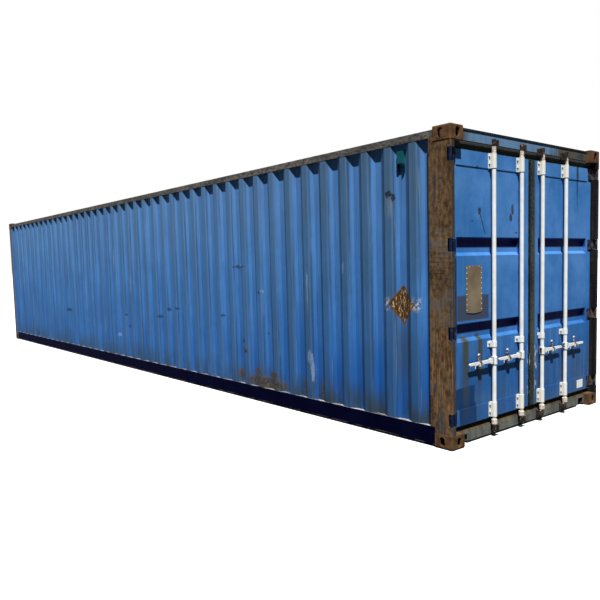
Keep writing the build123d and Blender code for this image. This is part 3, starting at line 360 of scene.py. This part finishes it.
# The roof is painted darker and greyer: dust, together with painted shade that tones down its sunlit top.
roof = z.edge(roof_foot - 0.004, roof_foot + 0.004)
blue = (roof * (0.30 + cloud * 0.6)).tint(blue, roof_dust_and_shade)
faces_left = 1.0 - Shade.node("TexCoord", {}, {}, "Normal").axes()[1].edge(-0.2, 0.0)
left_side = faces_left * (1.0 - y.edge(-0.1, 0.1))
knocks = x.spots(z, (grit - 0.5) * 4.5 + (cloud - 0.5) * 2.0, (
    (3.120, 0.664, 0.050, 0.028),
    (3.590, 0.778, 0.026, 0.020),
    (3.083, 1.520, 0.120, 0.022),
    (3.480, 1.225, 0.050, 0.026),
    (2.704, 0.937, 0.034, 0.018),
    (1.560, 0.980, 0.050, 0.022),
    (1.326, 0.957, 0.040, 0.024),
    (1.049, 0.847, 0.060, 0.022),
    (0.020, 0.640, 0.090, 0.020),
    (-0.080, 0.820, 0.040, 0.016),
    (-2.600, 0.800, 0.120, 0.026),
))
blue = (knocks * left_side * 0.7).tint(blue, knock_shade)
rust = x.spots(z, (grit - 0.5) * 4.2 + (cloud - 0.5) * 3.0, (
    (3.560, 0.225, 0.400, 0.070),
    (3.400, 0.330, 0.080, 0.060),
    (3.700, 0.330, 0.110, 0.060),
    (3.060, 0.260, 0.090, 0.080),
    (4.500, 0.300, 0.035, 0.090),
    (4.210, 0.270, 0.030, 0.085),
    (3.180, 0.560, 0.040, 0.030),
))
blue = (rust * left_side * 0.85).tint(blue, grit.edge(0.40, 0.64).tint(dark_rust, dry_rust))
dent = x.spots(z, (grit - 0.5) * 4.0, ((5.430, 2.105, 0.040, 0.030), (5.475, 2.070, 0.016, 0.040)))
drips = x.between(5.385, 5.475, 0.012) * z.between(1.93, 2.07, 0.05) * fine_runs.edge(0.44, 0.60)
blue = (drips * left_side * 0.60).tint(blue, drip_grey)
blue = (dent * left_side * 0.8).tint(blue, dent_black)
scrapes = x.spots(z, (fine_runs - 0.5) * 7.0 + (grit - 0.5) * 3.0, (
    (4.330, 0.590, 0.034, 0.060),
    (4.365, 0.460, 0.026, 0.090),
    (4.315, 1.290, 0.014, 0.220),
    (4.841, 1.470, 0.010, 0.080),
    (3.083, 1.534, 0.030, 0.018),
    (3.503, 1.240, 0.032, 0.022),
    (0.150, 1.330, 0.016, 0.140),
    (-0.420, 1.700, 0.016, 0.160),
    (-0.354, 0.494, 0.034, 0.034),
))
blue = (scrapes * left_side * 0.45).tint(blue, scrape_blue)

# Diamond mark: a square sheet was once stuck to the left wall on its corner and has been torn away.
# Rust has grown through the shreds of its backing, pale glue is left at the side corners, and a grey
# stain runs down below.
MARK_ALONG, MARK_HEIGHT = 5.560, 1.165
MARK_HALF_WIDE, MARK_HALF_TALL = 0.160, 0.180
rim_rust, deep_rust, pale_shred = (0.170, 0.082, 0.030), (0.072, 0.032, 0.013), (0.520, 0.400, 0.230)
stain_grey, pale_glue = (0.046, 0.062, 0.062), (0.520, 0.480, 0.370)
beside_mark = (x - MARK_ALONG).size() * (1.0 / MARK_HALF_WIDE)
above_mark = (z - MARK_HEIGHT).size()
away = beside_mark + above_mark * (1.0 / MARK_HALF_TALL)
below = x.between(MARK_ALONG - 0.09, MARK_ALONG + 0.09, 0.05) * z.between(0.45, 1.05, 0.20)
blue = (below * runs.edge(0.36, 0.56) * left_side * 0.55).tint(blue, stain_grey)
torn = (1.0 - away + (grit - 0.5) * 0.7).edge(-0.03, 0.10) * left_side
shreds = (place * (95.0, 95.0, 26.0)).noise(1.0, 3.0)
mark = (1.0 - away).edge(0.02, 0.14).tint(rim_rust, deep_rust)
mark = (shreds.edge(0.53, 0.60) * (1.0 - away).edge(0.06, 0.30)).tint(mark, pale_shred)
blue = torn.tint(blue, mark)
glue = beside_mark.between(0.74, 1.30, 0.10) * (1.0 - above_mark.edge(0.020, 0.075)) * grit.edge(0.47, 0.58)
blue = (glue * left_side * 0.9).tint(blue, pale_glue)
finish_material(wall_paint, blue, 0.50 + dirt * 0.25, cloud + rust * 0.2 - dent * 0.6, 0.006)
dress(wall_paint, "left_wall", "right_wall", "front_wall", "front_post_left", "front_post_right", "roof")

# Floor: thick plywood boards laid along the length and screwed down to the cross members.  Pallets and
# trucks have scuffed them dark in patches.
dark_wood, pale_wood, scuff = (0.150, 0.085, 0.045), (0.310, 0.200, 0.115), (0.090, 0.070, 0.055)
plywood, place = start_material("floor_plywood")
grain = (place * (1.2, 24.0, 6.0)).noise(2.0, 6.0)
wood = grain.edge(0.3, 0.7).tint(dark_wood, pale_wood)
finish_material(plywood, (place.noise(3.0).edge(0.5, 0.7) * 0.5).tint(wood, scuff), 0.7)
dress(plywood, "floor")

# Vents: moulded hoods of teal plastic riveted high on each side wall, open at the foot so that the air
# gets out and the rain stays out.  Their lower part round the opening is painted dark: grime, with
# painted shade of the open mouth.
dark_teal, teal, vent_grime_and_shade = (0.006, 0.085, 0.100), (0.012, 0.110, 0.120), (0.004, 0.014, 0.030)
vent_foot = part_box("vents")[0].z
vent_plastic, place = start_material("teal_vent_plastic")
height = place.axes()[2]
plastic = place.noise(30.0).edge(0.4, 0.7).tint(dark_teal, teal)
# Painted dark round the opening: grime, with painted shade of the open mouth.
opening = 1.0 - height.edge(vent_foot + 0.054, vent_foot + 0.084)
finish_material(vent_plastic, opening.tint(plastic, vent_grime_and_shade), 0.6)
dress(vent_plastic, "vents")

# Doors: steel tube frames with sheet panels, pressed with two grooves each and welded in.  The blue
# paint has rain streaks, repainted patches low on the left leaf, brown drips from the lower groove and
# chips down to white along the meeting edge.  The marks lie on the outer faces only.
GROOVE_SHADES = ((0.925, 1.030), (1.632, 1.737))
STRIP_SIDES = (0.004, 0.097)
SCRATCH_ACROSS, SCRATCH_LOW, SCRATCH_HIGH, SCRATCH_LEAN = -0.756, 1.745, 1.94, 0.42
deep_blue, pale_blue, rain_blue = (0.032, 0.148, 0.405), (0.082, 0.236, 0.545), (0.070, 0.190, 0.380)
low_blue, low_grime = (0.009, 0.070, 0.240), (0.080, 0.102, 0.118)
painted_groove_shadow, stile_navy = (0.0004, 0.0018, 0.045), (0.003, 0.012, 0.060)
brown_drip, black_drip = (0.052, 0.056, 0.028), (0.012, 0.018, 0.022)
wear_black, wear_brown, chip_white = (0.016, 0.018, 0.024), (0.100, 0.074, 0.050), (0.620, 0.650, 0.660)
strip_dark, strip_grey = (0.014, 0.020, 0.022), (0.052, 0.064, 0.060)
strip_pale, strip_shade = (0.072, 0.092, 0.090), (0.006, 0.010, 0.016)
panel_low, panel_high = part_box("left_door_panel")
panel_face, panel_side = panel_high.x, panel_low.y
frame_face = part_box("left_door_frame")[1].x
door_paint, place = start_material("blue_door_paint")
x, y, z = place.axes()
cloud = place.noise(2.4, 7.0)
runs = (place * (24.0, 24.0, 0.7)).noise(1.0, 6.0)
grit = place.noise(46.0, 5.0)
blue = cloud.edge(0.3, 0.7).tint(deep_blue, pale_blue)
blue = (runs.edge(0.48, 0.75) * 0.5).tint(blue, rain_blue)
low = (1.0 - z.edge(0.4, 1.3)) * (0.45 + runs.edge(0.35, 0.65) * 0.4 + y.edge(0.0, 0.1) * 0.10)
blue = low.tint(blue, low_blue)
dark_wash = (1.0 - z.edge(0.2, 0.8)) * (runs * 0.5 + cloud * 0.5).edge(0.38, 0.62)
blue = (dark_wash * 0.6).tint(blue, low_grime)
outside = Shade.node("TexCoord", {}, {}, "Normal").axes()[0].edge(-0.2, 0.1)
# Painted shadow: the upper part of each groove, under its overhang, is painted near-black navy on the outer
# face.
hollow = outside * (1.0 - x.edge(panel_face - 0.014, panel_face - 0.001))
lower_shade, upper_shade = (z.between(*shade, 0.010) for shade in GROOVE_SHADES)
blue = (hollow * lower_shade.most(upper_shade)).tint(blue, painted_groove_shadow)
stile = outside * (1.0 - y.edge(panel_side, panel_side + 0.012)) * z.between(0.96, 1.56, 0.02)
blue = (stile * 0.85).tint(blue, stile_navy)
wander = (cloud - 0.5) * 0.03
for low_y, high_y, low_z, high_z, colour, share in (
    (-1.110, -0.834, 0.300, 0.476, (0.004, 0.026, 0.090), 0.90),
    (-1.047, -0.813, 0.165, 0.335, (0.006, 0.032, 0.110), 0.90),
    (-1.064, -0.626, 1.030, 1.235, (0.045, 0.050, 0.066), 0.95),
):
    patch = (y + wander).between(low_y, high_y, 0.008) * (z + wander).between(low_z, high_z, 0.008)
    blue = (patch * outside * (cloud * 0.5 + 0.7) * share).tint(blue, colour)
for middle, half, start, end, colour, share in (
    (-0.945, 0.045, 0.050, 0.780, brown_drip, 0.95),
    (-0.750, 0.036, 0.250, 0.790, brown_drip, 0.95),
    (0.887, 0.016, 1.950, 2.250, black_drip, 0.90),
    (0.880, 0.026, 2.200, 2.350, black_drip, 0.85),
):
    beside = (y - middle + (runs - 0.5) * 0.06).size()
    length = z.edge(start, end) * (1.0 - z.edge(end + 0.10, end + 0.13))
    drip = (1.0 - beside.edge(half * 0.3, half * 1.4)) * length * outside
    blue = (drip * share).tint(blue, colour)
wear = y.spots(z, (grit - 0.5) * 3.5 + (cloud - 0.5) * 2.0, (
    (-0.262, 1.960, 0.018, 0.045),
    (-0.290, 1.890, 0.020, 0.040),
    (-0.752, 1.935, 0.022, 0.032),
    (-0.855, 1.850, 0.020, 0.006),
    (-0.205, 1.760, 0.016, 0.008),
    (-0.790, 2.290, 0.010, 0.018),
))
off_scratch = (y - SCRATCH_ACROSS + (z - SCRATCH_HIGH) * SCRATCH_LEAN).size()
wear = wear.most((1.0 - off_scratch.edge(0.003, 0.010)) * z.between(SCRATCH_LOW, SCRATCH_HIGH, 0.01))
blue = (wear * outside * 0.9).tint(blue, grit.edge(0.50, 0.66).tint(wear_black, wear_brown))
strip = y.between(*STRIP_SIDES, 0.001) * x.edge(frame_face - 0.002, frame_face + 0.001)
worn_strip = (cloud * 0.5 + grit * 0.5).edge(0.42, 0.58).tint(strip_dark, strip_grey)
worn_strip = y.edge(0.066, 0.090).tint(worn_strip, strip_pale)
worn_strip = (1.0 - y.edge(0.008, 0.030)).tint(worn_strip, strip_shade)
blue = strip.tint(blue, worn_strip)
meeting_edges = y.between(-0.030, 0.012, 0.010).most(y.between(0.088, 0.150, 0.012))
chips = (place * (70.0, 70.0, 16.0)).noise(1.0, 3.0).edge(0.55, 0.60) * z.between(0.30, 0.72, 0.10)
blue = (meeting_edges * chips * outside * 0.9).tint(blue, chip_white)
finish_material(door_paint, blue, 0.48 + runs * 0.2, cloud + grit * 0.1, 0.003)
dress(door_paint, "left_door_frame", "right_door_frame", "left_door_panel", "right_door_panel")

# Plate: a blank sheet of tan-painted metal, riveted to the left door between its grooves along the top
# and both sides.  It has buckled a little and bows down along its free lower edge.
PLATE_LEFT, PLATE_RIGHT, PLATE_LOW, PLATE_HIGH = -0.944, -0.726, 1.097, 1.483
PLATE_OFF, PLATE_THICK, PLATE_BUCKLE, PLATE_BOW = 0.004, 0.002, 0.0035, 0.010
PLATE_HALF_WAVES, PLATE_WAVE_START, PLATE_BOW_POWER = 2.2, 0.6, 8
PLATE_COLUMNS, PLATE_ROWS = 12, 20
RIVET_RADIUS, RIVET_INSET, RIVET_MARGIN, RIVET_FLATTEN = 0.006, 0.008, 0.020, 0.6
SIDE_RIVETS, TOP_GAPS = 9, 5
dark_tan, pale_tan = (0.165, 0.125, 0.078), (0.215, 0.172, 0.115)
dull_rivet, bright_rivet = (0.420, 0.400, 0.340), (0.620, 0.600, 0.540)


def add_piece(name, mesh, material, body):
    """Make a piece of the mesh and let it ride on a body."""
    data = bpy.data.meshes.new(name)
    mesh.to_mesh(data)
    mesh.free()
    data.materials.append(material)
    piece = bpy.data.objects.new(name, data)
    scene.collection.objects.link(piece)
    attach(piece, body)
    return piece


plate_paint, place = start_material("tan_plate_paint")
cloud = place.noise(9.0, 6.0)
finish_material(plate_paint, cloud.edge(0.35, 0.65).tint(dark_tan, pale_tan), 0.7, cloud, 0.002)
plate_wide, plate_tall = PLATE_RIGHT - PLATE_LEFT, PLATE_HIGH - PLATE_LOW
plate = bmesh.new()
points = []
for row in range(PLATE_ROWS + 1):
    for column in range(PLATE_COLUMNS + 1):
        across, rise = column / PLATE_COLUMNS, row / PLATE_ROWS
        swell = math.sin(math.pi * across)
        wave = math.sin(PLATE_HALF_WAVES * math.pi * rise + PLATE_WAVE_START)
        out = panel_face + PLATE_OFF + PLATE_BUCKLE * swell * wave
        height = PLATE_LOW + rise * plate_tall - PLATE_BOW * swell * (1.0 - rise) ** PLATE_BOW_POWER
        points.append(plate.verts.new((out, PLATE_LEFT + across * plate_wide, height)))
for row in range(PLATE_ROWS):
    for column in range(PLATE_COLUMNS):
        first = row * (PLATE_COLUMNS + 1) + column
        corners = (first, first + 1, first + PLATE_COLUMNS + 2, first + PLATE_COLUMNS + 1)
        plate.faces.new([points[corner] for corner in corners])
plate_piece = add_piece("door_plate", plate, plate_paint, "left_door")
plate_piece.modifiers.new("thickness", "SOLIDIFY").thickness = PLATE_THICK
rivet_metal, place = start_material("pale_rivet")
shine = place.noise(200.0).edge(0.4, 0.6)
finish_material(rivet_metal, shine.tint(dull_rivet, bright_rivet), 0.5)
rivet_places = []
for step in range(SIDE_RIVETS):
    height = PLATE_LOW + RIVET_MARGIN + step / (SIDE_RIVETS - 1) * (plate_tall - 2 * RIVET_MARGIN)
    rivet_places += [(PLATE_LEFT + RIVET_INSET, height), (PLATE_RIGHT - RIVET_INSET, height)]
for step in range(1, TOP_GAPS):
    rivet_places.append((PLATE_LEFT + step / TOP_GAPS * plate_wide, PLATE_HIGH - RIVET_INSET))
rivets = bmesh.new()
flattened = Matrix.Diagonal((RIVET_FLATTEN, 1.0, 1.0, 1.0))
for rivet_y, rivet_z in rivet_places:
    seat = Matrix.Translation((panel_face + PLATE_OFF, rivet_y, rivet_z)) @ flattened
    bmesh.ops.create_uvsphere(rivets, u_segments=8, v_segments=6, radius=RIVET_RADIUS, matrix=seat)
add_piece("door_plate_rivets", rivets, rivet_metal, "left_door")

# Label: a blank white sticker of thin film, stuck low on the right door's frame near its hinges.
# It has weathered a little unevenly.
LABEL_THICK, LABEL_WIDE, LABEL_TALL = 0.0008, 0.121, 0.082
LABEL_ACROSS, LABEL_HEIGHT = 0.9625, 0.235
dull_white, clean_white = (0.720, 0.740, 0.740), (0.800, 0.810, 0.800)
label_paint, place = start_material("blank_white_label")
finish_material(label_paint, place.noise(60.0).edge(0.3, 0.7).tint(dull_white, clean_white), 0.5)
label = bmesh.new()
stuck = Matrix.Translation((frame_face + LABEL_THICK / 2, LABEL_ACROSS, LABEL_HEIGHT))
seat = stuck @ Matrix.Diagonal((LABEL_THICK, LABEL_WIDE, LABEL_TALL, 1.0))
bmesh.ops.create_cube(label, size=1.0, matrix=seat)
add_piece("blank_label", label, label_paint, "right_door")

# Header and sill: pressed steel beams welded between the rear posts over and under the doors.  The
# header's face is blue gone grey, stained brown at both ends, over a dark band and under a black rain
# lip; the sill is grey-green with brown dirt on its ledge.
LIP_TALL, LIP_AND_FACE_TALL, SILL_FACE_TALL = 0.014, 0.095, 0.076
header_blue, header_grey = (0.125, 0.235, 0.390), (0.100, 0.150, 0.200)
stain_black, stain_brown = (0.018, 0.020, 0.018), (0.080, 0.060, 0.032)
lip_black, lip_grey = (0.006, 0.008, 0.008), (0.022, 0.024, 0.020)
band_dark, band_grey, band_painted_highlight = (0.018, 0.021, 0.019), (0.044, 0.048, 0.042), (0.064, 0.070, 0.062)
sill_green, sill_grey, sill_grit = (0.094, 0.108, 0.100), (0.185, 0.190, 0.160), (0.066, 0.058, 0.046)
ledge_dark, ledge_brown = (0.036, 0.030, 0.020), (0.100, 0.080, 0.052)
header_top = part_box("door_header")[1].z
lip_foot, band_top = header_top - LIP_TALL, header_top - LIP_AND_FACE_TALL
ledge_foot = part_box("door_sill")[0].z + SILL_FACE_TALL
header_paint, place = start_material("stained_header_paint")
_, y, z = place.axes()
runs = (place * (14.0, 14.0, 3.0)).noise(1.0, 6.0)
cloud = place.noise(5.0, 6.0)
face = runs.edge(0.45, 0.75).tint(header_blue, header_grey)
right_stain = (y + (runs - 0.5) * 0.8).edge(0.35, 0.60)
left_stain = 1.0 - (y + (runs - 0.5) * 0.3).edge(-1.00, -0.86)
stain = cloud.edge(0.40, 0.60).tint(stain_black, stain_brown)
face = (right_stain.most(left_stain) * 0.9).tint(face, stain)
lip = cloud.edge(0.35, 0.7).tint(lip_black, lip_grey)
band = cloud.edge(0.35, 0.7).tint(band_dark, band_grey)
# Painted highlight: the band's top edge is painted paler, as if its rounded top caught the sun.
band = z.edge(band_top - 0.024, band_top - 0.002).tint(band, band_painted_highlight)
face = (1.0 - z.edge(band_top - 0.003, band_top + 0.002)).tint(face, band)
finish_material(header_paint, z.edge(lip_foot - 0.003, lip_foot + 0.002).tint(face, lip), 0.8, cloud, 0.002)
dress(header_paint, "door_header")
sill_paint, place = start_material("dirty_sill_paint")
height = place.axes()[2]
runs = (place * (6.0, 12.0, 4.0)).noise(1.0, 6.0)
grit = place.noise(50.0, 4.0)
face = runs.edge(0.35, 0.7).tint(sill_green, sill_grey)
face = (grit.edge(0.52, 0.64) * 0.6).tint(face, sill_grit)
ledge = runs.edge(0.3, 0.7).tint(ledge_dark, ledge_brown)
on_ledge = height.edge(ledge_foot - 0.004, ledge_foot + 0.004)
finish_material(sill_paint, on_ledge.tint(face, ledge), 0.9, grit, 0.003)
dress(sill_paint, "door_sill")

# Gaskets: rubber lips clamped round the edge of each leaf, which press on the frame and keep the water
# out.  The rubber is dull black with green-grey grime.
clean_rubber, grimy_rubber = (0.012, 0.017, 0.020), (0.050, 0.064, 0.064)
rubber, place = start_material("gasket_rubber")
finish_material(rubber, place.noise(18.0).edge(0.4, 0.7).tint(clean_rubber, grimy_rubber), 0.8)
dress(rubber, "left_door_gasket", "right_door_gasket")

# Hinges: forged steel blades welded to the outer edge of each leaf, with a knuckle for the pin.  They
# keep their dark blue paint on the left door and are mostly rust on the right one.
hinge_blue, hinge_rust = (0.006, 0.014, 0.046), (0.090, 0.064, 0.042)
hinge_paint, place = start_material("dark_hinge_paint")
across = place.axes()[1]
cloud = place.noise(24.0)
worn = (cloud + across.edge(-0.5, 0.5) * 0.12).edge(0.56, 0.68)
finish_material(hinge_paint, worn.tint(hinge_blue, hinge_rust), 0.75, cloud, 0.002)
dress(hinge_paint, "left_door_hinges", "right_door_hinges")

# Pins and keepers: steel pins through the hinges, and steel jaws welded to header and sill that hold
# the cams of the rods.  All are dark, and rusty where the paint has gone.
dark_metal, rusty_metal = (0.018, 0.018, 0.020), (0.085, 0.052, 0.036)
dark_steel, place = start_material("dark_rusty_steel")
cloud = place.noise(26.0)
finish_material(dark_steel, cloud.edge(0.40, 0.64).tint(dark_metal, rusty_metal), 0.75, cloud, 0.001)
dress(dark_steel, "header_keepers", "sill_keepers", "hinge_pins")

# Lock gear: steel tube rods with forged cams, which turn in brackets bolted to the doors and are swung
# by handles that drop into catches.  All is in white paint, flushed with rust next to the end brackets,
# black with grease at the cams, hubs and catches.
ROD_PLACES, CATCH_PLACES = (0.175, 0.600), (0.375, 0.800)
TOP_BRACKET_TALL, FOOT_BRACKET_TALL = 0.125, 0.127
cool_white, warm_white, cream = (0.800, 0.815, 0.800), (0.700, 0.700, 0.650), (0.760, 0.730, 0.630)
rust_flush, grease, bare_rust = (0.330, 0.190, 0.135), (0.010, 0.009, 0.010), (0.060, 0.036, 0.026)
bracket_low, bracket_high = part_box("left_door_brackets")
bracket_foot, bracket_top = bracket_low.z, bracket_high.z
handle_low, handle_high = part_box("handle_left_inner")
handle_height = (handle_low.z + handle_high.z) / 2


def off_nearer(out, uprights):
    """How far a point on a door lies from the nearer of two uprights."""
    inner, outer = uprights
    return ((out - (inner + outer) / 2).size() - (outer - inner) / 2).size()


white_paint, place = start_material("white_gear_paint")
_, y, z = place.axes()
cloud = place.noise(12.0)
grit = place.noise(70.0, 4.0)
white = cloud.edge(0.35, 0.7).tint(cool_white, warm_white)
top_start, foot_end = bracket_top - TOP_BRACKET_TALL, bracket_foot + FOOT_BRACKET_TALL
brackets = z.edge(top_start - 0.020, top_start).most(1.0 - z.edge(foot_end - 0.003, foot_end + 0.017))
white = (brackets * 0.7).tint(white, cream)
over = z.between(bracket_top - 0.003, bracket_top + 0.060, 0.008)
under = z.between(bracket_foot - 0.076, bracket_foot - 0.011, 0.008)
flush = over.most(under * 0.8)
white = (flush * grit.edge(0.38, 0.56) * 0.8).tint(white, rust_flush)
top_cams = z.edge(bracket_top + 0.043, bracket_top + 0.057)
cams = top_cams.most(1.0 - z.edge(bracket_foot - 0.080, bracket_foot - 0.068))
catches = 1.0 - off_nearer(y.size(), CATCH_PLACES).edge(0.014, 0.030)
catches = catches * z.between(handle_height - 0.066, handle_height + 0.069, 0.006)
hubs = off_nearer(y.size(), ROD_PLACES).between(0.020, 0.036, 0.004)
hubs = hubs * z.between(handle_height - 0.046, handle_height + 0.046, 0.006)
worn = (cams * 0.54 + catches.most(hubs) * 0.50 + grit * 0.5).edge(0.66, 0.76)
bare = cloud.edge(0.4, 0.6).tint(grease, bare_rust)
finish_material(white_paint, worn.tint(white, bare), 0.45 + worn * 0.4)
dress(white_paint, *[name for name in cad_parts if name.startswith(("rod_", "handle_"))])
dress(white_paint, "left_door_brackets", "right_door_brackets", "left_door_catches", "right_door_catches")

# Bracket bolts: steel hexagon heads on washers, which hold the gear to the doors.  Each flange of an
# end bracket has two and each flange of a guide has one.
FLANGE_THICK, BOLT_OUT, HEAD_TAPER = 0.006, 0.0305, 0.92
GUIDE_LOW, GUIDE_HIGH = 0.782, 0.832
WASHER, HEXAGON = (16, 0.0072, 0.002), (6, 0.0060, 0.010)
dark_head, pale_head = (0.050, 0.044, 0.038), (0.200, 0.180, 0.160)
bolt_metal, place = start_material("dark_bolt_metal")
shine = place.noise(120.0).edge(0.4, 0.6)
finish_material(bolt_metal, shine.tint(dark_head, pale_head), 0.6)
bracket_face, guide_face = frame_face + FLANGE_THICK, panel_face + FLANGE_THICK
bolt_rows = (
    (bracket_face, top_start, bracket_top, 2),
    (bracket_face, bracket_foot, foot_end, 2),
    (guide_face, GUIDE_LOW, GUIDE_HIGH, 1),
)
lie_out = Matrix.Rotation(math.pi / 2, 4, "Y")
for side, sign in (("left", -1.0), ("right", 1.0)):
    bolts = bmesh.new()
    for seat_x, low_end, high_end, count in bolt_rows:
        for step in range(count):
            bolt_z = low_end + (high_end - low_end) * (step + 0.5) / count
            for rod_place in ROD_PLACES:
                for bolt_y in (rod_place * sign - BOLT_OUT, rod_place * sign + BOLT_OUT):
                    for sides, radius, depth in (WASHER, HEXAGON):
                        seat = Matrix.Translation((seat_x + depth / 2, bolt_y, bolt_z)) @ lie_out
                        size = {"radius1": radius, "radius2": radius * HEAD_TAPER, "depth": depth}
                        bmesh.ops.create_cone(bolts, cap_ends=True, segments=sides, matrix=seat, **size)
    add_piece(side + "_bracket_bolts", bolts, bolt_metal, side + "_door")
